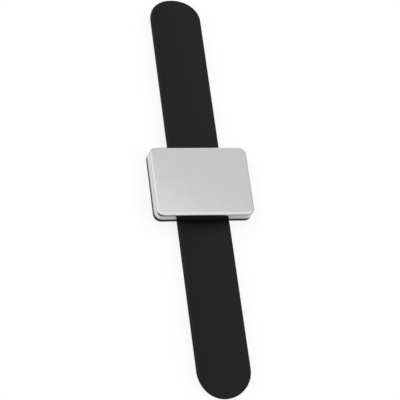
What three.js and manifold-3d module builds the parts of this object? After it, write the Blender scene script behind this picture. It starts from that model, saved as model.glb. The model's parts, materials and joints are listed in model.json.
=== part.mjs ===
// Magnetic hair clip wristband: a slap band of silicone over a spring strip, with a magnetic steel plate on it.
// Millimetres, +Z up. The band lies straight along Y with its belly on Z = 0, and the plate is over the origin.
import * as THREE from "three";
import { mergeVertices } from "three/addons/utils/BufferGeometryUtils.js";
import Module from "manifold-3d";

const wasm = await Module();
wasm.setup();

// Driving dimensions of the band
const BAND_LENGTH = 230; // tip to tip
const BAND_FLAT_WIDTH = 28.8; // across the sheet, along its curve
const BAND_THICKNESS = 2.2;
const CHANNEL_RADIUS = 41.5; // curve across the straight band, at mid thickness
const WING_LINKS = 12; // links that the bending part of each wing is divided into
const TIP_STRAIGHT = 1.5; // straight sides on the last link, before its round end
const LINK_GAP = 0.3; // between one link and the next

// Driving dimensions of the spring inside the band
const SPRING_THICKNESS = 0.3;
const SPRING_MARGIN = 3.2; // silicone left round the edge of the spring
const POCKET_CLEARANCE = 0.2; // room round the spring in its pocket

// Driving dimensions of the plate
const PLATE_WIDTH = 52.8; // across the band
const PLATE_LENGTH = 39; // along the band
const PLATE_CORNER_RADIUS = 4;
const RIM_HEIGHT = 2.55; // black edge that shows under the steel
const RIM_DROP = 0.9; // how far the rim hangs down beside the band's raised edges
const COVER_HEIGHT = 5.2;
const COVER_EDGE_RADIUS = 1.6;
const COVER_SHEET = 0.7;
const SPIGOT_HEIGHT = 3.5; // tray wall that stands up inside the cover
const SPIGOT_WALL = 1.2;
const SADDLE_INSET = 3.5; // from the plate's front and back edges to the saddle under the tray
const SADDLE_FLAT_WIDTH = 18; // along the curve of the channel that it fills
const MAGNET_CHAMFER = 0.6;

// Driving dimensions of the rivets
const RIVET_END_DISTANCE = 10.5; // from the plate's front and back edges to a rivet's axis
const RIVET_SHANK_RADIUS = 1.5;
const RIVET_HEAD_RADIUS = 3.8;
const RIVET_HEAD_RECESS = 0.15; // from the belly up to the head
const RIVET_TAIL_RADIUS = 2.4;
const RIVET_TAIL_HEIGHT = 0.8;
const WASHER_RADIUS = 3.4;
const WASHER_THICKNESS = 0.5;

// Clearances and mesh steps
const SEAT_GAP = 0.2; // between pieces that rest on each other
const BAND_SEAT_GAP = 0.25; // between the band and the tray on it
const HOLE_CLEARANCE = 0.25; // round a shank, a head, a washer or a block in its well
const CUT_OVERRUN = 1; // how far a cutting solid runs past the faces that it opens
const ACROSS_STEPS = 9; // odd, so that a flat facet runs along the middle of the belly
const EDGE_STEPS = 3;
const END_STEPS = 8;
const CORNER_STEPS = 6;
const ROUND_STEPS = 28;
const WELD_DISTANCE = 1e-4;

// Levels and sizes that follow from them
const HALF_THICKNESS = BAND_THICKNESS / 2;
const HALF_FLAT_WIDTH = BAND_FLAT_WIDTH / 2;
const HINGE_START = PLATE_LENGTH / 2;
const TIP_LENGTH = HALF_FLAT_WIDTH + TIP_STRAIGHT;
const LINK_PITCH = (BAND_LENGTH / 2 - HINGE_START - TIP_LENGTH) / (WING_LINKS - 1);
const BAND_TOP = roll(HALF_FLAT_WIDTH - HALF_THICKNESS, 0, 0).z + HALF_THICKNESS;
const TRAY_BOTTOM = BAND_TOP - RIM_DROP;
const TRAY_FLOOR = TRAY_BOTTOM + RIM_HEIGHT;
const COVER_BOTTOM = TRAY_FLOOR + SEAT_GAP;
const COVER_TOP = COVER_BOTTOM + COVER_HEIGHT;
const RIVET_REACH = PLATE_LENGTH / 2 - RIVET_END_DISTANCE; // from the middle of the band
const SPIGOT_INSET = COVER_SHEET + HOLE_CLEARANCE;
const WELL_INSET = SPIGOT_INSET + SPIGOT_WALL;
const BLOCK_INSET = WELL_INSET + HOLE_CLEARANCE;
const WASHER_BOTTOM = TRAY_FLOOR + SEAT_GAP;
const TAIL_BOTTOM = WASHER_BOTTOM + WASHER_THICKNESS + SEAT_GAP;
const PAD_BOTTOM = TRAY_FLOOR + SEAT_GAP;
const PAD_TOP = TAIL_BOTTOM + RIVET_TAIL_HEIGHT + SEAT_GAP;
const MAGNET_BOTTOM = PAD_TOP + SEAT_GAP;
const MAGNET_TOP = COVER_TOP - COVER_SHEET - SEAT_GAP;
const SPRING_BOTTOM = HALF_THICKNESS - SPRING_THICKNESS / 2;
const RIVET_HEAD_TOP = SPRING_BOTTOM - SEAT_GAP;

// The four bands: sleeve, spring, pocket and seat, each with round ends and fully rounded edges
const SLEEVE = {
  halfLength: BAND_LENGTH / 2,
  halfWidth: HALF_FLAT_WIDTH,
  halfThickness: HALF_THICKNESS,
  edgeSteps: EDGE_STEPS,
};
const SPRING = {
  halfLength: BAND_LENGTH / 2 - SPRING_MARGIN,
  halfWidth: HALF_FLAT_WIDTH - SPRING_MARGIN,
  halfThickness: SPRING_THICKNESS / 2,
  edgeSteps: 1,
};
const POCKET = {
  halfLength: SPRING.halfLength + POCKET_CLEARANCE,
  halfWidth: SPRING.halfWidth + POCKET_CLEARANCE,
  halfThickness: SPRING.halfThickness + POCKET_CLEARANCE,
  edgeSteps: 1,
};
const SEAT = {
  halfLength: SLEEVE.halfLength + BAND_SEAT_GAP,
  halfWidth: SLEEVE.halfWidth + BAND_SEAT_GAP,
  halfThickness: SLEEVE.halfThickness + BAND_SEAT_GAP,
  edgeSteps: EDGE_STEPS,
};

// Finishes
const SILICONE = { color: 0x262626, roughness: 0.7, metalness: 0 };
const POLISHED_STEEL = { color: 0xcdcfd0, roughness: 0.15, metalness: 1 };
const SPRING_STEEL = { color: 0x8d9196, roughness: 0.35, metalness: 1 };
const BLACK_PLASTIC = { color: 0x1b1b1c, roughness: 0.5, metalness: 0 };
const FERRITE = { color: 0x3b3937, roughness: 0.8, metalness: 0 };
const FOAM = { color: 0x333335, roughness: 0.95, metalness: 0 };
const NICKEL = { color: 0xb9b8b2, roughness: 0.25, metalness: 1 };

// A point of the flat band, x across, y along and h above its mid surface, rolled into the channel
function roll(x, y, h) {
  const angle = x / CHANNEL_RADIUS;
  const radius = CHANNEL_RADIUS - h;
  const z = HALF_THICKNESS + CHANNEL_RADIUS - radius * Math.cos(angle);
  return new THREE.Vector3(radius * Math.sin(angle), y, z);
}

// One closed surface from triangles, without those that have shrunk to a line
function weld(triangles) {
  const apart = (a, b) => a.distanceTo(b) > WELD_DISTANCE;
  const kept = triangles.filter(([a, b, c]) => apart(a, b) && apart(b, c) && apart(c, a));
  const geometry = new THREE.BufferGeometry().setFromPoints(kept.flat());
  return mergeVertices(geometry, WELD_DISTANCE);
}

function quad(a, b, c, d) {
  return [
    [a, b, c],
    [a, c, d],
  ];
}

// How far y is past the start of a band's round end
function pastRoundStart(band, y) {
  return Math.max(0, Math.abs(y) - (band.halfLength - band.halfWidth));
}

// Half the band's thickness at a flat point, falling to nothing at its rounded edge
function halfThicknessAt(band, x, y) {
  const fromEdge = band.halfWidth - Math.hypot(x, pastRoundStart(band, y));
  const inset = THREE.MathUtils.clamp(band.halfThickness - fromEdge, 0, band.halfThickness);
  return Math.sqrt(band.halfThickness ** 2 - inset ** 2);
}

// Flat x positions across a band at y: finer on the rounded edges than between them
function positionsAcross(band, y) {
  const reach = Math.sqrt(Math.max(0, band.halfWidth ** 2 - pastRoundStart(band, y) ** 2));
  const edge = Math.min(band.halfThickness, reach);
  const left = [];
  for (let i = 0; i < band.edgeSteps; i++) {
    const angle = ((i / band.edgeSteps) * Math.PI) / 2;
    left.push(-reach + edge * (1 - Math.cos(angle)));
  }
  const inner = reach - edge;
  const middle = [];
  for (let i = 0; i <= ACROSS_STEPS; i++) {
    middle.push(inner * ((2 * i) / ACROSS_STEPS - 1));
  }
  return [...left, ...middle, ...left.map((x) => -x).reverse()];
}

// Places along a band between two values of y, with more of them round its end
function stationsAlong(band, from, to) {
  const roundStart = band.halfLength - band.halfWidth;
  const round = [];
  for (let i = 0; i <= END_STEPS; i++) {
    round.push(roundStart + band.halfWidth * Math.sin(((i / END_STEPS) * Math.PI) / 2));
  }
  const between = round.filter((y) => y > from + WELD_DISTANCE && y < to - WELD_DISTANCE);
  return [from, ...between, to];
}

// The stretch of a rolled band from one y to another, as a closed solid
function bandStretch(band, from, to) {
  const last = Math.min(to, band.halfLength);
  const stations = stationsAlong(band, from, last);
  const row = (y, side) =>
    positionsAcross(band, y).map((x) => roll(x, y, side * halfThicknessAt(band, x, y)));
  const upper = stations.map((y) => row(y, 1));
  const lower = stations.map((y) => row(y, -1));
  const triangles = [];
  const end = stations.length - 1;
  for (let j = 0; j + 1 < upper[0].length; j++) {
    triangles.push(...quad(lower[0][j], lower[0][j + 1], upper[0][j + 1], upper[0][j]));
    triangles.push(...quad(lower[end][j], upper[end][j], upper[end][j + 1], lower[end][j + 1]));
    for (let i = 0; i < end; i++) {
      triangles.push(...quad(upper[i][j], upper[i][j + 1], upper[i + 1][j + 1], upper[i + 1][j]));
      triangles.push(...quad(lower[i][j], lower[i + 1][j], lower[i + 1][j + 1], lower[i][j + 1]));
    }
  }
  return weld(triangles);
}

// The plate's outline at one level, drawn in by an inset
function plateOutline(inset, z) {
  const radius = Math.max(PLATE_CORNER_RADIUS - inset, SEAT_GAP);
  const x = PLATE_WIDTH / 2 - inset - radius;
  const y = PLATE_LENGTH / 2 - inset - radius;
  const centres = [
    [x, y],
    [-x, y],
    [-x, -y],
    [x, -y],
  ];
  const points = [];
  centres.forEach(([cx, cy], corner) => {
    for (let i = 0; i <= CORNER_STEPS; i++) {
      const angle = ((corner + i / CORNER_STEPS) * Math.PI) / 2;
      points.push(new THREE.Vector3(cx + radius * Math.cos(angle), cy + radius * Math.sin(angle), z));
    }
  });
  return points;
}

// A solid in the plate's outline, from levels of inset and height listed upwards
function plateStack(levels) {
  const rings = levels.map(([inset, z]) => plateOutline(inset, z));
  const top = rings.length - 1;
  const floorCentre = new THREE.Vector3(0, 0, levels[0][1]);
  const topCentre = new THREE.Vector3(0, 0, levels[top][1]);
  const count = rings[0].length;
  const triangles = [];
  for (let k = 0; k < count; k++) {
    const next = (k + 1) % count;
    triangles.push([floorCentre, rings[0][next], rings[0][k]]);
    triangles.push([topCentre, rings[top][k], rings[top][next]]);
    for (let i = 0; i < top; i++) {
      triangles.push(...quad(rings[i][k], rings[i][next], rings[i + 1][next], rings[i + 1][k]));
    }
  }
  return weld(triangles);
}

// Levels of a wall that ends in a rounded edge
function roundedTop(inset, bottom, top, radius) {
  const levels = [[inset, bottom]];
  for (let i = 0; i <= CORNER_STEPS; i++) {
    const angle = ((i / CORNER_STEPS) * Math.PI) / 2;
    levels.push([inset + radius * (1 - Math.cos(angle)), top - radius + radius * Math.sin(angle)]);
  }
  return levels;
}

function toSolid(geometry) {
  const bare = geometry.clone();
  bare.deleteAttribute("normal");
  bare.deleteAttribute("uv");
  const merged = mergeVertices(bare, WELD_DISTANCE);
  return new wasm.Manifold(
    new wasm.Mesh({
      numProp: 3,
      vertProperties: merged.attributes.position.array,
      triVerts: new Uint32Array(merged.index.array),
    }),
  );
}

function toGeometry(solid) {
  const mesh = solid.getMesh();
  const geometry = new THREE.BufferGeometry();
  geometry.setAttribute("position", new THREE.BufferAttribute(mesh.vertProperties, 3));
  geometry.setIndex(new THREE.BufferAttribute(mesh.triVerts, 1));
  return geometry;
}

function join(first, ...others) {
  return toGeometry(others.reduce((sum, other) => sum.add(toSolid(other)), toSolid(first)));
}

function cut(first, ...tools) {
  return toGeometry(tools.reduce((rest, tool) => rest.subtract(toSolid(tool)), toSolid(first)));
}

// An upright cylinder at a rivet's place along the band
function uprightCylinder(radius, bottom, top, y) {
  const cylinder = new THREE.CylinderGeometry(radius, radius, top - bottom, ROUND_STEPS);
  cylinder.rotateX(Math.PI / 2);
  return cylinder.translate(0, y, (bottom + top) / 2);
}

// Upright cylinders of one radius at every rivet's place
function atRivets(radius, bottom, top) {
  return rivetPlaces().map(({ y }) => uprightCylinder(radius, bottom, top, y));
}

function rivetPlaces() {
  return [
    { side: "front", y: -RIVET_REACH },
    { side: "back", y: RIVET_REACH },
  ];
}

// A turned piece with its axis upright, from a profile of radius and height
function turned(profile) {
  const points = profile.map(([radius, z]) => new THREE.Vector2(radius, z));
  return new THREE.LatheGeometry(points, ROUND_STEPS).rotateX(Math.PI / 2);
}

function piece(name, geometry, finish) {
  const mesh = new THREE.Mesh(geometry, new THREE.MeshStandardMaterial(finish));
  mesh.name = name;
  return mesh;
}

// The steel cover: a cap drawn from one sheet
function plateCover() {
  const outside = plateStack(roundedTop(0, COVER_BOTTOM, COVER_TOP, COVER_EDGE_RADIUS));
  const innerRadius = Math.max(COVER_EDGE_RADIUS - COVER_SHEET, SEAT_GAP);
  const inside = plateStack(
    roundedTop(COVER_SHEET, COVER_BOTTOM - CUT_OVERRUN, COVER_TOP - COVER_SHEET, innerRadius),
  );
  return piece("plate_cover", cut(outside, inside), POLISHED_STEEL);
}

// The saddle under the tray, which fills the band's channel
function saddle() {
  const outline = new THREE.Shape();
  for (let i = 0; i <= ACROSS_STEPS; i++) {
    const across = SADDLE_FLAT_WIDTH * (i / ACROSS_STEPS - 0.5);
    const point = roll(across, 0, SEAT.halfThickness);
    if (i === 0) outline.moveTo(point.x, TRAY_FLOOR - SEAT_GAP);
    outline.lineTo(point.x, point.z);
    if (i === ACROSS_STEPS) outline.lineTo(point.x, TRAY_FLOOR - SEAT_GAP);
  }
  const length = PLATE_LENGTH - 2 * SADDLE_INSET;
  const block = new THREE.ExtrudeGeometry(outline, { depth: length, bevelEnabled: false });
  return block.rotateX(Math.PI / 2).translate(0, length / 2, 0);
}

// The plastic tray: floor and rim with a seat for the band, a spigot wall inside the cover, and the saddle
function baseTray() {
  const floor = plateStack([
    [0, TRAY_BOTTOM],
    [0, TRAY_FLOOR],
  ]);
  const seat = bandStretch(SEAT, -HINGE_START - CUT_OVERRUN, HINGE_START + CUT_OVERRUN);
  const spigot = plateStack([
    [SPIGOT_INSET, TRAY_FLOOR - SEAT_GAP],
    [SPIGOT_INSET, TRAY_FLOOR + SPIGOT_HEIGHT],
  ]);
  const well = plateStack([
    [WELL_INSET, TRAY_FLOOR],
    [WELL_INSET, TRAY_FLOOR + SPIGOT_HEIGHT + CUT_OVERRUN],
  ]);
  const holes = atRivets(RIVET_SHANK_RADIUS + HOLE_CLEARANCE, 0, TRAY_FLOOR + CUT_OVERRUN);
  return piece("base_tray", cut(join(cut(floor, seat), spigot, saddle()), well, ...holes), BLACK_PLASTIC);
}

// The foam pad, with room for the washers and the clinched ends of the rivets
function magnetPad() {
  const pad = plateStack([
    [BLOCK_INSET, PAD_BOTTOM],
    [BLOCK_INSET, PAD_TOP],
  ]);
  const holes = atRivets(WASHER_RADIUS + HOLE_CLEARANCE, TRAY_FLOOR, PAD_TOP + CUT_OVERRUN);
  return piece("magnet_pad", cut(pad, ...holes), FOAM);
}

function magnetBlock() {
  const block = plateStack([
    [BLOCK_INSET + MAGNET_CHAMFER, MAGNET_BOTTOM],
    [BLOCK_INSET, MAGNET_BOTTOM + MAGNET_CHAMFER],
    [BLOCK_INSET, MAGNET_TOP - MAGNET_CHAMFER],
    [BLOCK_INSET + MAGNET_CHAMFER, MAGNET_TOP],
  ]);
  return piece("magnet_block", block, FERRITE);
}

// A rivet: flat head in the belly, shank up through the tray, clinched end on its washer
function rivet(side, y) {
  const tailTop = TAIL_BOTTOM + RIVET_TAIL_HEIGHT;
  const profile = [
    [0, RIVET_HEAD_RECESS],
    [RIVET_HEAD_RADIUS, RIVET_HEAD_RECESS],
    [RIVET_HEAD_RADIUS, RIVET_HEAD_TOP],
    [RIVET_SHANK_RADIUS, RIVET_HEAD_TOP],
    [RIVET_SHANK_RADIUS, TAIL_BOTTOM],
    [RIVET_TAIL_RADIUS, TAIL_BOTTOM],
    [RIVET_TAIL_RADIUS, (TAIL_BOTTOM + tailTop) / 2],
    [RIVET_SHANK_RADIUS, tailTop],
    [0, tailTop],
  ];
  const mesh = piece(`rivet_${side}`, turned(profile), NICKEL);
  mesh.position.y = y;
  return mesh;
}

function washer(side, y) {
  const bore = RIVET_SHANK_RADIUS + HOLE_CLEARANCE;
  const top = WASHER_BOTTOM + WASHER_THICKNESS;
  const profile = [
    [bore, WASHER_BOTTOM],
    [WASHER_RADIUS, WASHER_BOTTOM],
    [WASHER_RADIUS, top],
    [bore, top],
    [bore, WASHER_BOTTOM],
  ];
  const mesh = piece(`washer_${side}`, turned(profile), NICKEL);
  mesh.position.y = y;
  return mesh;
}

// The middle of the sleeve, under the plate, with holes for the rivets' shanks and heads
function sleeveCentre() {
  const end = HINGE_START - LINK_GAP / 2;
  const pocket = bandStretch(POCKET, -end - CUT_OVERRUN, end + CUT_OVERRUN);
  const shanks = atRivets(RIVET_SHANK_RADIUS + HOLE_CLEARANCE, HALF_THICKNESS, TRAY_BOTTOM);
  const heads = atRivets(RIVET_HEAD_RADIUS + HOLE_CLEARANCE, -CUT_OVERRUN, HALF_THICKNESS);
  return piece("sleeve_centre", cut(bandStretch(SLEEVE, -end, end), pocket, ...shanks, ...heads), SILICONE);
}

function springCentre() {
  const end = HINGE_START - LINK_GAP / 2;
  const holes = atRivets(RIVET_SHANK_RADIUS + HOLE_CLEARANCE, 0, TRAY_BOTTOM);
  return piece("spring_centre", cut(bandStretch(SPRING, -end, end), ...holes), SPRING_STEEL);
}

// One wing, reaching towards +Y before it is turned into place: links of sleeve and spring
function wing(side) {
  const group = new THREE.Group();
  for (let link = 1; link <= WING_LINKS; link++) {
    const from = HINGE_START + (link - 1) * LINK_PITCH + LINK_GAP / 2;
    const isTip = link === WING_LINKS;
    const to = isTip ? BAND_LENGTH / 2 : from + LINK_PITCH - LINK_GAP;
    const pocket = bandStretch(POCKET, from - CUT_OVERRUN, to + CUT_OVERRUN);
    const sleeve = cut(bandStretch(SLEEVE, from, to), pocket);
    group.add(piece(`sleeve_${side}_${link}`, sleeve, SILICONE));
    group.add(piece(`spring_${side}_${link}`, bandStretch(SPRING, from, to), SPRING_STEEL));
  }
  return group;
}

const wristband = new THREE.Group();
wristband.add(plateCover(), magnetBlock(), magnetPad(), baseTray());
for (const { side, y } of rivetPlaces()) {
  wristband.add(rivet(side, y), washer(side, y));
}
wristband.add(sleeveCentre(), springCentre());
const frontWing = wing("front");
frontWing.rotation.z = Math.PI;
wristband.add(frontWing, wing("back"));

export default wristband;
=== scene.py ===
# %% [markdown]
# # A magnetic hair clip wristband
# A hairdresser wears this band on the wrist. A spring strip in a silicone sleeve lies straight until it
# is slapped on, and a steel plate with a magnet under it holds the clips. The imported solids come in
# first and are never moved: they give the places and sizes below, and each piece that is made here
# takes the place of one or two of them.

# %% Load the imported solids
import json
import math

import bmesh
import bpy
from mathutils import Matrix, Vector

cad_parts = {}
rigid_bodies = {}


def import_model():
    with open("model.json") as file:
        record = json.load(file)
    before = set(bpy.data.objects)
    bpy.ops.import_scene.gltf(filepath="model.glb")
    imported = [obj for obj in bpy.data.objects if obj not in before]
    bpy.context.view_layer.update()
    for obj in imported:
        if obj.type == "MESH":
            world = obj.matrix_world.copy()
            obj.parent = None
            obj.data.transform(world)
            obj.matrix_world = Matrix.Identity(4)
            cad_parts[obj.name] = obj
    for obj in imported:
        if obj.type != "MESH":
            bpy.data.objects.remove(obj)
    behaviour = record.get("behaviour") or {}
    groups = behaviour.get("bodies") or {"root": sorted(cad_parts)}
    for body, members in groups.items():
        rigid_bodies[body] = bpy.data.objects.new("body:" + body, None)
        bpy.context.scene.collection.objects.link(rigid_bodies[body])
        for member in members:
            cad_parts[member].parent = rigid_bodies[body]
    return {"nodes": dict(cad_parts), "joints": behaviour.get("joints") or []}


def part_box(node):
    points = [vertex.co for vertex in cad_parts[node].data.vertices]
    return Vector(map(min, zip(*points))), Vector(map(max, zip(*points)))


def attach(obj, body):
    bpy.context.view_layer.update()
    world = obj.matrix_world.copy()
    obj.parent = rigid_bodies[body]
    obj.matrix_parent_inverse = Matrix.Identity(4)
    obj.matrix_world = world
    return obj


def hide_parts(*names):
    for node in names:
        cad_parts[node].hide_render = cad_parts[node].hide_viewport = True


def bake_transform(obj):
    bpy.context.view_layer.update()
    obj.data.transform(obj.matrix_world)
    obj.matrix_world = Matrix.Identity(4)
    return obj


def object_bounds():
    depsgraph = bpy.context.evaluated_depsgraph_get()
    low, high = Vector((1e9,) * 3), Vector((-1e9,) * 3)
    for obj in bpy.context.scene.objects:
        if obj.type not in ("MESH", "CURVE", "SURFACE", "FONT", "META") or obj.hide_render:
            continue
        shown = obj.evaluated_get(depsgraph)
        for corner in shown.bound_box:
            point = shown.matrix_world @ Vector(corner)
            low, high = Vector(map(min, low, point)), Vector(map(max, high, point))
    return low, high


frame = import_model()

cad_box = [list(corner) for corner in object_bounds()]

# %% [markdown]
# ## Sizes
# Most sizes can be read off the solids, so a change to them carries over. What a box can't tell, such
# as the curve across the band, is written here once, in metres like everything else in this scene.

# %% Sizes of the band and the plate
MM = 0.001
HALF_THICKNESS = 1.1 * MM
HALF_FLAT_WIDTH = 14.4 * MM
CHANNEL_RADIUS = 41.5 * MM
CORNER_RADIUS = 4 * MM
HALF_LENGTH = cad_box[1][1]

cover_low, cover_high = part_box("plate_cover")
_, tray_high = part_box("base_tray")
rivet_low, rivet_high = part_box("rivet_back")
RIVET_REACH = (rivet_low.y + rivet_high.y) / 2
HEAD_RADIUS = (rivet_high.x - rivet_low.x) / 2
print("band", 2 * HALF_LENGTH, "plate", cover_high - cover_low, "rivets at", RIVET_REACH)

# %% Hinges of the two wings, from the plate outwards
SIDES = {"front": -1, "back": 1}
hinges = {side: [] for side in SIDES}
for joint in frame["joints"]:
    side = joint["child"].split("_")[0]
    hinges[side].append((abs(joint["pos_m"][1]), joint["parent"], joint["child"]))
LINK_PITCH = hinges["back"][1][0] - hinges["back"][0][0]
print("hinges per wing", len(hinges["back"]), "pitch", round(LINK_PITCH, 5))

# %% [markdown]
# ## Sums inside node trees
# Geometry and finishes are both node trees here, and both are full of sums. A small class wraps an
# output socket, so that an expression such as 1 - mask adds its own Math nodes, and every other node
# comes from one method. That reads better than a list of nodes and links, and it is the same for a mesh
# and for a material.


# %% Wires
class Wire:
    """An output socket. Sums on wires add Math nodes to the same tree."""

    def __init__(self, graph, socket):
        self.graph = graph
        self.socket = socket

    def out(self, name):
        """Another output of the same node."""
        return Wire(self.graph, self.socket.node.outputs[name])

    def math(self, operation, *others):
        return self.graph.node("ShaderNodeMath", (self, *others), operation=operation)

    def __add__(self, other):
        return self.math("ADD", other)

    def __sub__(self, other):
        return self.math("SUBTRACT", other)

    def __rsub__(self, other):
        return self.graph.node("ShaderNodeMath", (other, self), operation="SUBTRACT")

    def __mul__(self, other):
        return self.math("MULTIPLY", other)

    def __truediv__(self, other):
        return self.math("DIVIDE", other)

    def __gt__(self, other):
        return self.math("GREATER_THAN", other)

    def __lt__(self, other):
        return self.math("LESS_THAN", other)

    __radd__ = __add__
    __rmul__ = __mul__

    def held(self, low, high):
        return self.math("MAXIMUM", low).math("MINIMUM", high)

    def root(self):
        return self.math("MAXIMUM", 0).math("SQRT")


# %% Graphs
class Graph:
    """A node tree that is being written."""

    def __init__(self, tree):
        self.tree = tree
        tree.nodes.clear()

    def node(self, kind, inputs=(), output=0, **settings):
        """Add a node: its settings first, then its inputs, which are values or wires by number or name."""
        made = self.tree.nodes.new(kind)
        for name, value in settings.items():
            setattr(made, name, value)
        pairs = inputs.items() if isinstance(inputs, dict) else enumerate(inputs)
        for key, value in pairs:
            if isinstance(value, Wire):
                self.tree.links.new(value.socket, made.inputs[key])
            else:
                made.inputs[key].default_value = value
        return Wire(self, made.outputs[output]) if made.outputs else made

    def split(self, vector):
        """The x, y and z of a vector."""
        x = self.node("ShaderNodeSeparateXYZ", (vector,))
        return x, x.out("Y"), x.out("Z")


# %% Finishes and their common parts
def finish(name):
    material = bpy.data.materials.new(name)
    material.use_nodes = True
    graph = Graph(material.node_tree)
    place = graph.node("ShaderNodeTexCoord", output="Object")
    return material, graph, place


def noise(graph, place, size, detail=2.0, stretch=(1, 1, 1)):
    """Cloudy values between 0 and 1 whose lumps are about one size across."""
    scaled = graph.node("ShaderNodeMapping", {"Vector": place, "Scale": stretch})
    return graph.node("ShaderNodeTexNoise", {"Vector": scaled, "Scale": 1 / size, "Detail": detail})


def grey(tone):
    return (tone, tone, tone)


def mixed(graph, factor, first, second):
    """A colour between two others."""
    # A Mix node uses the same socket names for numbers and for colours, so the colours go by number
    inputs = {0: factor, 6: (*first, 1), 7: (*second, 1)}
    return graph.node("ShaderNodeMix", inputs, output=2, data_type="RGBA")


def bump(graph, height, depth, strength):
    return graph.node("ShaderNodeBump", {"Height": height, "Distance": depth, "Strength": strength})


def surface(graph, inputs):
    shader = graph.node("ShaderNodeBsdfPrincipled", inputs)
    graph.node("ShaderNodeOutputMaterial", {"Surface": shader})


# %% [markdown]
# ## Silicone
# The sleeve is moulded in black silicone with a fine matt grain from the mould. Plain black would look
# like a hole, so three things vary: the grain stands up a little, broad patches are more rubbed than
# others, and the rounded edge, where hands pull the band, is a touch smoother. The mesh carries its
# distance from the edge as an attribute.

# %% Silicone of the sleeve
MATT_GRAIN = 0.35 * MM
MATT_DEPTH = 0.03 * MM
RUBBED_PATCH = 14 * MM
RUBBED_EDGE = 1.6 * MM


def silicone_finish():
    material, graph, place = finish("black_silicone")
    grain = noise(graph, place, MATT_GRAIN, detail=3)
    patches = noise(graph, place, RUBBED_PATCH, detail=3)
    edge = graph.node("ShaderNodeAttribute", output="Fac", attribute_name="edge_distance")
    rubbed = (1 - edge / RUBBED_EDGE).held(0, 1)
    surface(graph, {
        "Base Color": mixed(graph, patches * 0.7 + grain * 0.3, grey(0.0072), grey(0.0112)),
        "Roughness": 0.62 + patches * 0.1 - rubbed * 0.1,
        "Specular IOR Level": 0.13,
        "Normal": bump(graph, grain, MATT_DEPTH, strength=0.6),
    })
    return material


SILICONE = silicone_finish()
print("finish", SILICONE.name, len(SILICONE.node_tree.nodes), "nodes")

# %% [markdown]
# ## The sleeve
# The sleeve is a flat blank with round ends and fully rounded edges, rolled into a shallow channel.
# That is a rule, so a Geometry Nodes tree makes it: a grid of rows and columns is set to the blank's
# outline, given its thickness above and below, and then rolled. The real sleeve is one piece that bends
# all along. Here it is cut half-way between the hinges, so each cut piece has one hinge in its middle.

# %% The start and the end of a tree
def geometry_tree(name, sockets):
    tree = bpy.data.node_groups.new(name, "GeometryNodeTree")
    for socket, kind in sockets.items():
        tree.interface.new_socket(name=socket, in_out="INPUT", socket_type="NodeSocket" + kind)
    tree.interface.new_socket(name="Geometry", in_out="OUTPUT", socket_type="NodeSocketGeometry")
    graph = Graph(tree)
    entry = graph.node("NodeGroupInput")
    return graph, {socket: entry.out(socket) for socket in sockets}


def closing(graph, geometry, material):
    """The end of every tree: real faces with a finish."""
    faces = graph.node("GeometryNodeRealizeInstances", (geometry,))
    finished = graph.node("GeometryNodeSetMaterial", {"Geometry": faces, "Material": material})
    graph.node("NodeGroupOutput", (finished,))
    return graph.tree


# %% A node tree for a rolled band
BAND_WELD = 0.004 * MM
# A band has one row more than it has steps, and one row for the middle of each end face
EXTRA_ROWS = 3
BAND_SOCKETS = {
    **dict.fromkeys(["From", "To", "Direction", "Round End"], "Float"),
    **dict.fromkeys(["Half Length", "Half Width", "Half Thickness"], "Float"),
    **dict.fromkeys(["Middle Height", "Channel Radius"], "Float"),
    **dict.fromkeys(["Rows", "Columns"], "Int"),
    "Finish": "Material",
}


def band_tree():
    graph, size = geometry_tree("rolled_band", BAND_SOCKETS)
    rows, half_width, half_thickness = size["Rows"], size["Half Width"], size["Half Thickness"]

    # The grid runs from -1 to 1 across the band, and its rows are 1 apart
    grid = graph.node("GeometryNodeMeshGrid", (2, rows - 1, size["Columns"], rows))
    share, level, _ = graph.split(graph.node("GeometryNodeInputPosition"))
    row = level + (rows - 1) * 0.5

    # The first and last rows are the middle of the end faces, so they have no thickness of their own
    step = ((row - 1) / (rows - EXTRA_ROWS)).held(0, 1)
    eased = (step * (math.pi / 2)).math("SINE")
    y = size["From"] + (size["To"] - size["From"]) * (step + (eased - step) * size["Round End"])
    inside = (row > 0.5) * (row < rows - 1.5)

    # The outline, and the thickness that falls to nothing at its edge
    past = (y - size["Half Length"] + half_width).math("MAXIMUM", 0)
    reach = (half_width * half_width - past * past).root()
    x = reach * (share * (math.pi / 2)).math("SINE")
    edge = half_width - (x * x + past * past).root()
    inset = (half_thickness - edge).math("MAXIMUM", 0)
    height = (half_thickness * half_thickness - inset * inset).root() * inside
    blank = graph.node(
        "GeometryNodeStoreNamedAttribute",
        {"Geometry": grid, "Name": "edge_distance", "Value": edge},
    )

    def rolled(side):
        angle = x / size["Channel Radius"]
        radius = size["Channel Radius"] - height * side
        across = radius * angle.math("SINE") * size["Direction"]
        up = size["Middle Height"] + size["Channel Radius"] - radius * angle.math("COSINE")
        target = graph.node("ShaderNodeCombineXYZ", (across, y * size["Direction"], up))
        return graph.node("GeometryNodeSetPosition", {"Geometry": blank, "Position": target})

    # Join Geometry takes both faces of the band on its one socket
    under = graph.node("GeometryNodeFlipFaces", (rolled(-1),))
    both = graph.node("GeometryNodeJoinGeometry", (rolled(1),))
    graph.tree.links.new(under.socket, both.socket.node.inputs[0])
    welded = graph.node("GeometryNodeMergeByDistance", {"Geometry": both, "Distance": BAND_WELD})
    shaded = graph.node("GeometryNodeSetShadeSmooth", {"Geometry": welded, "Shade Smooth": True})
    return closing(graph, shaded, size["Finish"])


BAND_TREE = band_tree()
print("tree", BAND_TREE.name, len(BAND_TREE.nodes), "nodes")

# %% Plain meshes out of node trees
SHARP_ANGLE = math.radians(40)


def show(name, data):
    piece = bpy.data.objects.new(name, data)
    bpy.context.scene.collection.objects.link(piece)
    return piece


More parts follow.
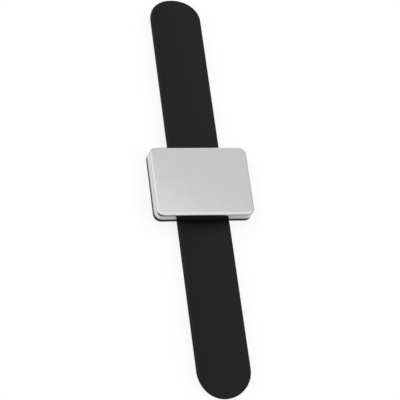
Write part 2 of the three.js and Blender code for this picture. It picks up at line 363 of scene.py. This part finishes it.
def grown(name, tree, inputs):
    """The mesh that a tree makes from its named inputs, as an object without the tree."""
    seed = show(name + "_seed", bpy.data.meshes.new(name))
    modifier = seed.modifiers.new("tree", "NODES")
    modifier.node_group = tree
    for item in tree.interface.items_tree:
        if item.in_out == "INPUT":
            modifier[item.identifier] = inputs[item.name]
    mesh = bpy.data.meshes.new_from_object(seed.evaluated_get(bpy.context.evaluated_depsgraph_get()))
    bpy.data.objects.remove(seed)
    mesh.set_sharp_from_angle(angle=SHARP_ANGLE)
    return show(name, mesh)


print("edges over", round(math.degrees(SHARP_ANGLE)), "degrees stay sharp")

# %% One stretch of sleeve for each hinge
ROW_SPACING = 0.4 * MM
SLEEVE_COLUMNS = 49


def sleeve_stretch(side, number):
    places = [place for place, parent, child in hinges[side]]
    tip = number == len(places)
    start = 0.0 if number == 1 else places[number - 1] - LINK_PITCH / 2
    end = HALF_LENGTH if tip else places[number - 1] + LINK_PITCH / 2
    return grown(f"silicone_{side}_{number}", BAND_TREE, {
        "From": start,
        "To": end,
        "Direction": float(SIDES[side]),
        "Round End": float(tip),
        "Half Length": HALF_LENGTH,
        "Half Width": HALF_FLAT_WIDTH,
        "Half Thickness": HALF_THICKNESS,
        "Middle Height": HALF_THICKNESS,
        "Channel Radius": CHANNEL_RADIUS,
        "Rows": round((end - start) / ROW_SPACING) + EXTRA_ROWS,
        "Columns": SLEEVE_COLUMNS,
        "Finish": SILICONE,
    })


sleeves = {
    (side, number): sleeve_stretch(side, number)
    for side in SIDES
    for number in range(1, len(hinges[side]) + 1)
}
print("sleeve pieces", len(sleeves), "faces", sum(len(piece.data.polygons) for piece in sleeves.values()))

# %% [markdown]
# ## Recesses for the rivets
# Turned over, the band shows two round rivet heads, each sunk in a recess so that it doesn't press on
# the wrist. A boolean cut with a plain round cutter gives the recess its true depth and a crisp edge.

# %% Cut the recesses
RECESS_CLEARANCE = 0.25 * MM
RECESS_DEPTH = 0.9 * MM
CUT_PAST = 1 * MM
ROUND_STEPS = 64


def round_cutter(radius, bottom, top, y):
    shape = bmesh.new()
    bmesh.ops.create_cone(
        shape,
        cap_ends=True,
        segments=ROUND_STEPS,
        radius1=radius,
        radius2=radius,
        depth=top - bottom,
        matrix=Matrix.Translation((0, y, (bottom + top) / 2)),
    )
    mesh = bpy.data.meshes.new("cutter")
    shape.to_mesh(mesh)
    shape.free()
    return show("cutter", mesh)


def combine(piece, tool, operation):
    """Cut a tool out of a piece, or join it on, and take the tool away."""
    modifier = piece.modifiers.new("combine", "BOOLEAN")
    modifier.operation = operation
    modifier.solver = "EXACT"
    modifier.object = tool
    old = piece.data
    mesh = bpy.data.meshes.new_from_object(piece.evaluated_get(bpy.context.evaluated_depsgraph_get()))
    piece.modifiers.remove(modifier)
    piece.data = mesh
    bpy.data.meshes.remove(old)
    bpy.data.objects.remove(tool)


recess_radius = HEAD_RADIUS + RECESS_CLEARANCE
for side, sign in SIDES.items():
    piece = sleeves[side, 1]
    combine(piece, round_cutter(recess_radius, -CUT_PAST, RECESS_DEPTH, sign * RIVET_REACH), "DIFFERENCE")
    piece.data.set_sharp_from_angle(angle=SHARP_ANGLE)
    print("recess in", piece.name, len(piece.data.polygons), "faces")

# %% [markdown]
# ## Polished steel
# The cover is drawn from stainless sheet and polished. A mirror would only show the studio, and real
# polish isn't perfect: it has a faint cloudiness where it has been wiped, and hairlines along it and
# across it. They are so fine that they change the roughness and tilt the surface slightly, and the
# colour hardly at all.

# %% Steel of the cover
WIPED_PATCH = 11 * MM
HAIRLINE_WIDTH = 0.5 * MM
HAIRLINE_DEPTH = 0.002 * MM
HAIRLINE_STRETCH = 0.04


def hairlines(graph, place, stretch):
    lines = noise(graph, place, HAIRLINE_WIDTH, stretch=stretch)
    return (lines - 0.5).math("ABSOLUTE")


def steel_finish():
    material, graph, place = finish("polished_steel")
    wiped = noise(graph, place, WIPED_PATCH, detail=4)
    along = hairlines(graph, place, (1, HAIRLINE_STRETCH, HAIRLINE_STRETCH))
    across = hairlines(graph, place, (HAIRLINE_STRETCH, 1, HAIRLINE_STRETCH))
    lines = along + across
    surface(graph, {
        "Base Color": mixed(graph, wiped, grey(0.605), grey(0.635)),
        "Metallic": 1.0,
        "Roughness": 0.05 + wiped * 0.05 + lines * 0.04,
        "Normal": bump(graph, lines, HAIRLINE_DEPTH, strength=0.5),
    })
    return material


STEEL = steel_finish()
print("finish", STEEL.name, len(STEEL.node_tree.nodes), "nodes")

# %% [markdown]
# ## The cover
# The cover is a shallow cap: a rounded rectangle with upright walls, a rounded upper edge and a hollow
# inside. All its levels are the same outline drawn in by different amounts, so it is made of rings
# joined from the middle of the top, over the edge, down the wall, and up again inside. Only the rings
# that need it are close together.

# %% Rings in the plate's outline
CORNER_STEPS = 14
SMALLEST_RADIUS = 0.3 * MM
EDGE_STEPS = 10
LIP_STEPS = 4


def plate_ring(inset, z):
    """One ring of the plate's rounded rectangle, drawn in by an inset."""
    radius = max(CORNER_RADIUS - inset, SMALLEST_RADIUS)
    centre_x = cover_high.x - inset - radius
    centre_y = cover_high.y - inset - radius
    points = []
    for corner, (sx, sy) in enumerate([(1, 1), (-1, 1), (-1, -1), (1, -1)]):
        for step in range(CORNER_STEPS + 1):
            angle = (corner + step / CORNER_STEPS) * math.pi / 2
            x = sx * centre_x + radius * math.cos(angle)
            y = sy * centre_y + radius * math.sin(angle)
            points.append((x, y, z))
    return points


def ringed(name, levels):
    """A closed shell of rings from its first level to its last, with both ends filled."""
    shape = bmesh.new()
    rings = [[shape.verts.new(point) for point in plate_ring(*level)] for level in levels]
    for upper, lower in zip(rings, rings[1:]):
        for k in range(len(upper)):
            shape.faces.new((upper[k - 1], lower[k - 1], lower[k], upper[k]))
    shape.faces.new(rings[0])
    shape.faces.new(reversed(rings[-1]))
    bmesh.ops.recalc_face_normals(shape, faces=shape.faces)
    mesh = bpy.data.meshes.new(name)
    shape.to_mesh(mesh)
    shape.free()
    mesh.shade_smooth()
    mesh.set_sharp_from_angle(angle=SHARP_ANGLE)
    return show(name, mesh)


def rounding(inset, z, radius, start, end, steps=EDGE_STEPS):
    """Levels round an edge. Its circle has its middle at an inset and z, and 0 degrees points outwards."""
    levels = []
    for step in range(steps + 1):
        angle = math.radians(start + (end - start) * step / steps)
        levels.append((inset - radius * math.cos(angle), z + radius * math.sin(angle)))
    return levels


print("points in a ring", len(plate_ring(0, 0)))

# %% The cover from its levels
EDGE_RADIUS = 1.2 * MM
SHEET = 0.7 * MM
INNER_RADIUS = EDGE_RADIUS - SHEET
LIP_RADIUS = 0.12 * MM
FLAT_MARGIN = 0.4 * MM

cover_top, cover_bottom = cover_high.z, cover_low.z
cover = ringed("steel_cover", [
    (EDGE_RADIUS + FLAT_MARGIN, cover_top),
    *rounding(EDGE_RADIUS, cover_top - EDGE_RADIUS, EDGE_RADIUS, 90, 0),
    *rounding(LIP_RADIUS, cover_bottom + LIP_RADIUS, LIP_RADIUS, 0, -90, LIP_STEPS),
    (SHEET, cover_bottom),
    *rounding(EDGE_RADIUS, cover_top - EDGE_RADIUS, INNER_RADIUS, 0, 90),
    (EDGE_RADIUS + FLAT_MARGIN, cover_top - SHEET),
])
cover.data.materials.append(STEEL)
print("cover", len(cover.data.polygons), "faces")

# %% [markdown]
# ## Moulded plastic
# The tray under the cover is a satin black moulding. Its rim is the dark line under the steel. The
# finish has the spark-eroded grain of a mould, finer and harder than the silicone's, and slightly
# shinier.

# %% Plastic of the tray
SPARK_GRAIN = 0.22 * MM
SPARK_DEPTH = 0.012 * MM
SATIN_PATCH = 7 * MM


def plastic_finish():
    material, graph, place = finish("black_plastic")
    grain = noise(graph, place, SPARK_GRAIN)
    patches = noise(graph, place, SATIN_PATCH)
    surface(graph, {
        "Base Color": mixed(graph, patches, grey(0.009), grey(0.013)),
        "Roughness": 0.3 + patches * 0.1 + grain * 0.06,
        "Specular IOR Level": 0.15,
        "Normal": bump(graph, grain, SPARK_DEPTH, strength=0.5),
    })
    return material


PLASTIC = plastic_finish()
print("finish", PLASTIC.name, len(PLASTIC.node_tree.nodes), "nodes")

# %% [markdown]
# ## The tray
# The tray's rim, the wall that stands up inside the cover and the well for the magnet are rings again.
# The saddle underneath fills the channel of the band, so its lower face is part of a cylinder. The rim
# hangs down beside the band's raised edges, so a slightly thicker band from the same tree is cut out of
# it. Then the saddle, a prism, is joined on, and the shafts for the rivets are cut through both.

# %% Rim and well
RIM_HEIGHT = 2.55 * MM
RIM_RADIUS = 0.1 * MM
COVER_GAP = 0.2 * MM
SPIGOT_INSET = 0.95 * MM
SPIGOT_WALL = 1.2 * MM

tray_floor = cover_bottom - COVER_GAP
tray_bottom = tray_floor - RIM_HEIGHT
well_inset = SPIGOT_INSET + SPIGOT_WALL
tray = ringed("tray", [
    (2 * RIM_RADIUS, tray_bottom),
    *rounding(RIM_RADIUS, tray_bottom + RIM_RADIUS, RIM_RADIUS, -90, 0, LIP_STEPS),
    *rounding(RIM_RADIUS, tray_floor - RIM_RADIUS, RIM_RADIUS, 0, 90, LIP_STEPS),
    (SPIGOT_INSET, tray_floor),
    *rounding(SPIGOT_INSET + RIM_RADIUS, tray_high.z - RIM_RADIUS, RIM_RADIUS, 0, 90, LIP_STEPS),
    (well_inset, tray_high.z),
    (well_inset, tray_floor),
])
tray.data.materials.append(PLASTIC)
print("tray rings", len(tray.data.polygons), "faces")

# %% Seat for the band
SEAT_GAP = 0.25 * MM

seat = grown("seat", BAND_TREE, {
    "From": -cover_high.y - CUT_PAST,
    "To": cover_high.y + CUT_PAST,
    "Direction": 1.0,
    "Round End": 0.0,
    "Half Length": HALF_LENGTH,
    "Half Width": HALF_FLAT_WIDTH + SEAT_GAP,
    "Half Thickness": HALF_THICKNESS + SEAT_GAP,
    "Middle Height": HALF_THICKNESS,
    "Channel Radius": CHANNEL_RADIUS,
    "Rows": 1 + EXTRA_ROWS,
    "Columns": SLEEVE_COLUMNS,
    "Finish": PLASTIC,
})
combine(tray, seat, "DIFFERENCE")
print("tray with seat", len(tray.data.polygons), "faces")

# %% Saddle and shafts
SADDLE_HALF_WIDTH = 9 * MM
SADDLE_INSET = 3.5 * MM
SADDLE_STEPS = 24
SHAFT_RADIUS = 1.75 * MM


def saddle_section():
    """Pairs of x and z: curved underneath, and level inside the tray's floor."""
    radius = CHANNEL_RADIUS - HALF_THICKNESS - SEAT_GAP
    level = (tray_bottom + tray_floor) / 2
    section = []
    for step in range(SADDLE_STEPS + 1):
        angle = SADDLE_HALF_WIDTH / CHANNEL_RADIUS * (2 * step / SADDLE_STEPS - 1)
        height = HALF_THICKNESS + CHANNEL_RADIUS - radius * math.cos(angle)
        section.append((radius * math.sin(angle), height))
    return section + [(section[-1][0], level), (section[0][0], level)]


def saddle():
    """A prism that lies in the band's channel under the tray."""
    half_length = cover_high.y - SADDLE_INSET
    shape = bmesh.new()
    outline = shape.faces.new([shape.verts.new((x, -half_length, z)) for x, z in saddle_section()])
    pulled = bmesh.ops.extrude_face_region(shape, geom=[outline])["geom"]
    ends = [part for part in pulled if isinstance(part, bmesh.types.BMVert)]
    bmesh.ops.translate(shape, verts=ends, vec=(0, 2 * half_length, 0))
    bmesh.ops.recalc_face_normals(shape, faces=shape.faces)
    mesh = bpy.data.meshes.new("saddle")
    shape.to_mesh(mesh)
    shape.free()
    return show("saddle", mesh)


combine(tray, saddle(), "UNION")
for sign in SIDES.values():
    combine(tray, round_cutter(SHAFT_RADIUS, 0, tray_floor + CUT_PAST, sign * RIVET_REACH), "DIFFERENCE")
tray.data.shade_smooth()
tray.data.set_sharp_from_angle(angle=SHARP_ANGLE)
print("tray", len(tray.data.polygons), "faces")

# %% [markdown]
# ## Rivets
# Two rivets go up through the spring and the tray. Each is turned, so it is a profile spun about its
# axis, with a low domed head, and its nickel plating shows the fine rings of the turning. The rivets
# repeat along the band, so a second tree sets them out: points on a line, one rivet on each.

# %% Nickel of the rivets and washers
TURNING_PITCH = 0.22 * MM
TURNING_DEPTH = 0.004 * MM
TARNISH_PATCH = 2.5 * MM


def nickel_finish():
    material, graph, place = finish("nickel_plate")
    x, y, _ = graph.split(place)
    along = y.math("ABSOLUTE") - RIVET_REACH
    radius = (x * x + along * along).root()
    turning = (radius * (2 * math.pi / TURNING_PITCH)).math("SINE") * 0.5 + 0.5
    tarnish = noise(graph, place, TARNISH_PATCH, detail=3)
    surface(graph, {
        "Base Color": mixed(graph, tarnish, (0.50, 0.485, 0.45), (0.60, 0.59, 0.56)),
        "Metallic": 1.0,
        "Roughness": 0.2 + tarnish * 0.12 + turning * 0.05,
        "Normal": bump(graph, turning, TURNING_DEPTH, strength=0.4),
    })
    return material


NICKEL = nickel_finish()
print("finish", NICKEL.name, len(NICKEL.node_tree.nodes), "nodes")

# %% One rivet, spun from its profile
DOME_DROP = 0.12 * MM
HEAD_EDGE = 0.15 * MM
HEAD_TOP = 0.75 * MM
SHANK_RADIUS = 1.5 * MM
TAIL_RADIUS = 2.4 * MM
TAIL_HEIGHT = 0.8 * MM
SPIN_WELD = 0.001 * MM

head_bottom = rivet_low.z
tail_top = rivet_high.z
rivet_profile = [
    (0, head_bottom),
    (HEAD_RADIUS * 0.5, head_bottom + DOME_DROP * 0.25),
    (HEAD_RADIUS - HEAD_EDGE, head_bottom + DOME_DROP * 0.8),
    (HEAD_RADIUS - HEAD_EDGE * 0.3, head_bottom + DOME_DROP * 1.4),
    (HEAD_RADIUS, head_bottom + DOME_DROP * 2.4),
    (HEAD_RADIUS, HEAD_TOP - HEAD_EDGE),
    (HEAD_RADIUS - HEAD_EDGE, HEAD_TOP),
    (SHANK_RADIUS, HEAD_TOP),
    (SHANK_RADIUS, tail_top - TAIL_HEIGHT),
    (TAIL_RADIUS, tail_top - TAIL_HEIGHT),
    (TAIL_RADIUS, tail_top - TAIL_HEIGHT * 0.6),
    (TAIL_RADIUS * 0.8, tail_top - TAIL_HEIGHT * 0.15),
    (SHANK_RADIUS, tail_top),
    (0, tail_top),
]


def spun(name, profile):
    """A turned shape from pairs of radius and height, listed upwards."""
    shape = bmesh.new()
    points = [shape.verts.new((radius, 0, z)) for radius, z in profile]
    line = [shape.edges.new(pair) for pair in zip(points, points[1:])]
    bmesh.ops.spin(
        shape,
        geom=points + line,
        cent=(0, 0, 0),
        axis=(0, 0, 1),
        angle=2 * math.pi,
        steps=ROUND_STEPS,
        use_merge=True,
    )
    bmesh.ops.remove_doubles(shape, verts=shape.verts, dist=SPIN_WELD)
    bmesh.ops.recalc_face_normals(shape, faces=shape.faces)
    mesh = bpy.data.meshes.new(name)
    shape.to_mesh(mesh)
    shape.free()
    mesh.shade_smooth()
    return show(name, mesh)


pattern = spun("rivet_pattern", rivet_profile)
print("rivet pattern", len(pattern.data.polygons), "faces")


# %% A row of rivets
def rivet_tree():
    sockets = {"Rivet": "Object", "Count": "Int", "Spacing": "Float", "Finish": "Material"}
    graph, size = geometry_tree("rivet_row", sockets)
    first = graph.node("ShaderNodeCombineXYZ", {"Y": (size["Count"] - 1) * size["Spacing"] * -0.5})
    offset = graph.node("ShaderNodeCombineXYZ", {"Y": size["Spacing"]})
    line = graph.node(
        "GeometryNodeMeshLine",
        {"Count": size["Count"], "Start Location": first, "Offset": offset},
    )
    shape = graph.node(
        "GeometryNodeObjectInfo",
        {"Object": size["Rivet"], "As Instance": True},
        output="Geometry",
    )
    placed = graph.node("GeometryNodeInstanceOnPoints", {"Points": line, "Instance": shape})
    return closing(graph, placed, size["Finish"])


rivets = grown("rivets", rivet_tree(), {
    "Rivet": pattern,
    "Count": len(SIDES),
    "Spacing": 2 * RIVET_REACH,
    "Finish": NICKEL,
})
bpy.data.objects.remove(pattern)
print("rivets", len(rivets.data.polygons), "faces")

# %% [markdown]
# ## What stays inside
# The spring, the magnet, its foam pad and the washers are hidden, and their solids already have the
# right shape. They keep it and only get finishes: lengthwise grinding on the spring, a speckled
# sintered magnet, open foam, and the rivets' nickel on the washers.

# %% Spring steel, ferrite and foam
GRINDING_WIDTH = 0.3 * MM
GRINDING_DEPTH = 0.004 * MM
GRINDING_STRETCH = (1, 0.02, 1)
HEAT_PATCH = 16 * MM
SPECK_SIZE = 0.4 * MM
SPECK_DEPTH = 0.03 * MM
CELL_SIZE = 0.6 * MM
CELL_DEPTH = 0.2 * MM


def spring_finish():
    material, graph, place = finish("spring_steel")
    grinding = noise(graph, place, GRINDING_WIDTH, stretch=GRINDING_STRETCH)
    heat = noise(graph, place, HEAT_PATCH)
    surface(graph, {
        "Base Color": mixed(graph, heat, (0.34, 0.36, 0.39), (0.42, 0.42, 0.43)),
        "Metallic": 1.0,
        "Roughness": 0.28 + grinding * 0.18,
        "Normal": bump(graph, grinding, GRINDING_DEPTH, strength=0.5),
    })
    return material


def ferrite_finish():
    material, graph, place = finish("ferrite")
    specks = noise(graph, place, SPECK_SIZE, detail=4)
    surface(graph, {
        "Base Color": mixed(graph, specks, (0.032, 0.03, 0.029), (0.065, 0.062, 0.06)),
        "Roughness": 0.65 + specks * 0.2,
        "Normal": bump(graph, specks, SPECK_DEPTH, strength=0.6),
    })
    return material


def foam_finish():
    material, graph, place = finish("foam")
    cells = graph.node("ShaderNodeTexVoronoi", {"Vector": place, "Scale": 1 / CELL_SIZE})
    surface(graph, {
        "Base Color": mixed(graph, cells, (0.02, 0.02, 0.021), (0.05, 0.05, 0.052)),
        "Roughness": 0.9 + cells * 0.08,
        "Normal": bump(graph, cells, CELL_DEPTH, strength=0.8),
    })
    return material


inside_finishes = {
    "spring": spring_finish(),
    "magnet_block": ferrite_finish(),
    "magnet_pad": foam_finish(),
    "washer": NICKEL,
}
for name, node in frame["nodes"].items():
    for start, material in inside_finishes.items():
        if name.startswith(start):
            node.material_slots[0].material = material
print("inside finishes", list(inside_finishes))

# %% [markdown]
# ## What moves with what
# The plate's pieces ride on the plate. Each stretch of sleeve takes the place of its solid and stays
# where it is made, tied to no link.

# %% Ride and replace
for piece, slot, nodes in (
    (cover, "polished_steel", ["plate_cover"]),
    (tray, "black_plastic", ["base_tray"]),
    (rivets, "nickel", ["rivet_front", "rivet_back"]),
):
    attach(piece, "plate")
    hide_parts(*nodes)

for (side, number), piece in sleeves.items():
    place, parent, child = hinges[side][number - 1]
    start = (0, SIDES[side] * (place - LINK_PITCH / 2), 0)
    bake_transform(piece)
    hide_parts(f"sleeve_{side}_{number}")
    if number == 1:
        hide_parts("sleeve_centre")
print("bending pieces", len(sleeves))

# %% [markdown]
# ## The camera
# The photograph is a plain catalogue shot through a long lens, from the front left and rather high,
# with the camera held at a tilt. The camera comes before the light, because the studio is set out round
# it.

# %% Camera
SENSOR_WIDTH = 36
CAMERA_LENS = 143.619
CAMERA_AIM = Vector((-0.925, -8.595, 6.0)) * MM
CAMERA_DISTANCE = 827.825 * MM
CAMERA_AZIMUTH = math.radians(-34.556)
CAMERA_ELEVATION = math.radians(60.757)
CAMERA_ROLL = math.radians(30.438)


def studio_camera():
    back = Vector((
        math.sin(CAMERA_AZIMUTH) * math.cos(CAMERA_ELEVATION),
        -math.cos(CAMERA_AZIMUTH) * math.cos(CAMERA_ELEVATION),
        math.sin(CAMERA_ELEVATION),
    ))
    level = Vector((0, 0, 1)).cross(back).normalized()
    right = level * math.cos(CAMERA_ROLL) + back.cross(level) * math.sin(CAMERA_ROLL)
    turn = Matrix((right, back.cross(right), back)).transposed().to_4x4()
    data = bpy.data.cameras.new("camera")
    data.sensor_width = SENSOR_WIDTH
    data.lens = CAMERA_LENS
    camera = show("camera", data)
    camera.matrix_world = Matrix.Translation(CAMERA_AIM + back * CAMERA_DISTANCE) @ turn
    return camera


bpy.context.scene.camera = studio_camera()
bpy.context.scene.view_settings.view_transform = "Standard"
print("camera at", bpy.context.scene.camera.matrix_world.translation)

# %% [markdown]
# ## The floor
# To all light the floor is white paper. The camera sees through it to a white world, and it only adds
# the soft shadow round what touches it, so that a wing that curls below it still shows. In polished
# metal the floor shows painted shade: it is greyer in front of the plate, a painted shade of the plate,
# and has a dark painted patch of shade at the front left. Steel that mirrors nothing but white has no
# edges.

# %% Places on the floor and in the sky
STUDIO_FRONT = CAMERA_AZIMUTH
SOFT_EDGE = 6


def smooth(graph, value, start, end):
    """0 at the start, 1 at the end and eased between."""
    inputs = {"Value": value, "From Min": start, "From Max": end}
    return graph.node("ShaderNodeMapRange", inputs, interpolation_type="SMOOTHSTEP")


def frontwards(x, y):
    """How far a point or a ray reaches towards the front of the studio, at the plate's front left."""
    return x * math.sin(STUDIO_FRONT) - y * math.cos(STUDIO_FRONT)


def beside(graph, x, y, middle, half_width, side_edge=SOFT_EDGE):
    """1 on one side of the plate and 0 round it. Degrees, clockwise from +Y."""
    turn, half = math.radians(middle), math.radians(half_width)
    level = (x * x + y * y).root()
    facing = (x * math.sin(turn) + y * math.cos(turn)) / level
    return smooth(graph, facing, math.cos(half + math.radians(side_edge)), math.cos(half))


print("front of the studio", round(math.degrees(STUDIO_FRONT)), "degrees from the plate's front")

# %% Floor
FLOOR_SIZE = 3.0
PAPER = (*grey(0.9), 1)
GLOSSY_WHITE = 0.4
SHADOW_REACH = 12 * MM
SHADOW_DEPTH = 0.16
# Painted shade that only polished metal sees: a greyer band in front of the plate and a dark patch at the
# front left
FRONT_EDGE = (22 * MM, 25 * MM)
FRONT_SHADE_DEPTH = 0.4
PATCH_NEAR = (33 * MM, 38 * MM)
PATCH_FAR = (400 * MM, 300 * MM)
PATCH_SIDE = {"middle": -145, "half_width": 23}
SHADE_PATCH_DEPTH = 0.95


def mirrored_light(graph, place):
    """The share of the floor's light that polished metal shows, after the painted shade in front of the
    plate and the painted dark patch of shade at the front left.
    """
    x, y, _ = graph.split(place)
    out = frontwards(x, y)
    # Painted shade: the floor in front of the plate is greyer in reflections
    front = smooth(graph, y * -1, *FRONT_EDGE)
    # Painted shade: a dark patch on the floor at the front left
    near_to_far = smooth(graph, out, *PATCH_NEAR) * smooth(graph, out, *PATCH_FAR)
    painted_shade_patch = near_to_far * beside(graph, x, y, **PATCH_SIDE)
    return (1 - front * FRONT_SHADE_DEPTH) * (1 - painted_shade_patch * SHADE_PATCH_DEPTH)


def floor_finish():
    material, graph, place = finish("studio_floor")
    camera_ray = graph.node("ShaderNodeLightPath", output="Is Camera Ray")
    glossy_ray = camera_ray.out("Is Glossy Ray")
    paper = graph.node("ShaderNodeBsdfDiffuse", {"Color": PAPER})
    white = graph.node("ShaderNodeEmission", {"Strength": 1.0})
    dark = graph.node("ShaderNodeEmission", {"Strength": 0.0})
    bright = graph.node("ShaderNodeMixShader", (glossy_ray * GLOSSY_WHITE, paper, white))
    # How much of the floor polished metal sees as painted shade
    painted_shade_share = glossy_ray * (1 - mirrored_light(graph, place))
    solid = graph.node("ShaderNodeMixShader", (painted_shade_share, bright, dark))

    # What the camera sees: nothing but the soft shadow, and no shadow from below
    below = graph.node("ShaderNodeNewGeometry", output="Backfacing")
    open_share = graph.node("ShaderNodeAmbientOcclusion", {"Distance": SHADOW_REACH}, output="AO")
    shade = (1 - open_share) * (1 - below) * SHADOW_DEPTH
    clear = graph.node("ShaderNodeBsdfTransparent", {"Color": (1, 1, 1, 1)})
    shaded = graph.node("ShaderNodeMixShader", (shade, clear, dark))
    shader = graph.node("ShaderNodeMixShader", (camera_ray.math("MAXIMUM", below), solid, shaded))
    graph.node("ShaderNodeOutputMaterial", {"Surface": shader})
    return material


def studio_floor():
    shape = bmesh.new()
    bmesh.ops.create_grid(shape, x_segments=1, y_segments=1, size=FLOOR_SIZE / 2)
    mesh = bpy.data.meshes.new("floor")
    shape.to_mesh(mesh)
    shape.free()
    mesh.materials.append(floor_finish())
    return show("floor", mesh)


studio_floor()
print("floor", FLOOR_SIZE, "m square")

# %% [markdown]
# ## The light
# The world is white to the camera and lights everything evenly. Polished metal shows a tent in it:
# brighter in front and overhead, greyer towards the horizon, with a bright panel on the left and a low
# one behind. Two gaps in the tent give the steel its dark accents: one low down at the front left, and
# a weaker one at the back. Two soft lamps do the rest, and they leave no hard patch in the steel. Their
# power is set so that a colour comes out about as written.

# %% World
AMBIENT = 0.4
SKY = 0.905
TENT = 0.3
TENT_EDGE = (-0.503, -0.455)
HORIZON = 0.65
HORIZON_RISE = (math.sin(math.radians(12)), math.sin(math.radians(46)))
LEFT_PANEL = {"middle": -100, "half_width": 30, "low": 32, "high": 48, "side_edge": 30}
LEFT_LIGHT = 0.4
BACK_PANEL = {"middle": 20, "half_width": 22, "low": 4, "high": 22}
BACK_LIGHT = 0.7
FRONT_GAP = {"middle": -155, "half_width": 34, "low": -20, "high": 13}
BACK_GAP = {"middle": -18, "half_width": 10, "low": 6, "high": 24}
BACK_GAP_DEPTH = 0.6


def panel(graph, ray, middle, half_width, low, high, side_edge=SOFT_EDGE):
    """1 in one part of the sky and 0 round it. Degrees, clockwise from +Y and up."""
    x, y, z = ray
    bottom, top, edge = math.radians(low), math.radians(high), math.radians(SOFT_EDGE)
    above = smooth(graph, z, math.sin(bottom - edge), math.sin(bottom))
    under = smooth(graph, z, math.sin(top + edge), math.sin(top))
    return beside(graph, x, y, middle, half_width, side_edge) * above * under


def mirrored_sky(graph):
    """How bright the tent is that polished metal shows."""
    ray = graph.split(graph.node("ShaderNodeTexCoord", output="Generated"))
    x, y, z = ray
    tent = smooth(graph, frontwards(x, y), *TENT_EDGE) * TENT
    panels = panel(graph, ray, **LEFT_PANEL) * LEFT_LIGHT + panel(graph, ray, **BACK_PANEL) * BACK_LIGHT
    gaps = panel(graph, ray, **FRONT_GAP) + panel(graph, ray, **BACK_GAP) * BACK_GAP_DEPTH
    low = HORIZON + smooth(graph, z, *HORIZON_RISE) * (1 - HORIZON)
    return (SKY + tent + panels) * low * (1 - gaps)


def studio_world():
    world = bpy.data.worlds.new("studio")
    world.use_nodes = True
    graph = Graph(world.node_tree)
    camera_ray = graph.node("ShaderNodeLightPath", output="Is Camera Ray")
    white = (camera_ray + camera_ray.out("Is Transmission Ray")) * (1 - AMBIENT)
    mirrored = camera_ray.out("Is Glossy Ray") * (mirrored_sky(graph) - AMBIENT)
    strength = AMBIENT + white + mirrored
    background = graph.node("ShaderNodeBackground", {"Color": (1, 1, 1, 1), "Strength": strength})
    graph.node("ShaderNodeOutputWorld", {"Surface": background})
    return world


bpy.context.scene.world = studio_world()
print("world", len(bpy.context.scene.world.node_tree.nodes), "nodes")

# %% Lamps
LAMPS = {
    "overhead": {"place": (-0.15, 0.5, 1.2), "size": 1.0, "power": 12.0},
    "left": {"place": (-1.1, 0.35, 0.75), "size": 0.9, "power": 6.5},
}


def softbox(name, place, size, power):
    """A square lamp that faces the middle of the plate. The world stands for its reflection."""
    lamp = bpy.data.lights.new(name, "AREA")
    lamp.shape = "SQUARE"
    lamp.size = size
    lamp.energy = power
    stand = show(name, lamp)
    stand.location = place
    stand.rotation_euler = (-Vector(place)).to_track_quat("-Z", "Y").to_euler()
    stand.visible_glossy = False
    return stand


lamps = [softbox(name, **lamp) for name, lamp in LAMPS.items()]
print("lamps", [lamp.name for lamp in lamps])

# %% [markdown]
# ## Sizes at the end
# Dressing the solids mustn't change the object's size, so the box of the imported solids is printed.

# %% Print the box of the imported solids
print("cad box", cad_box)
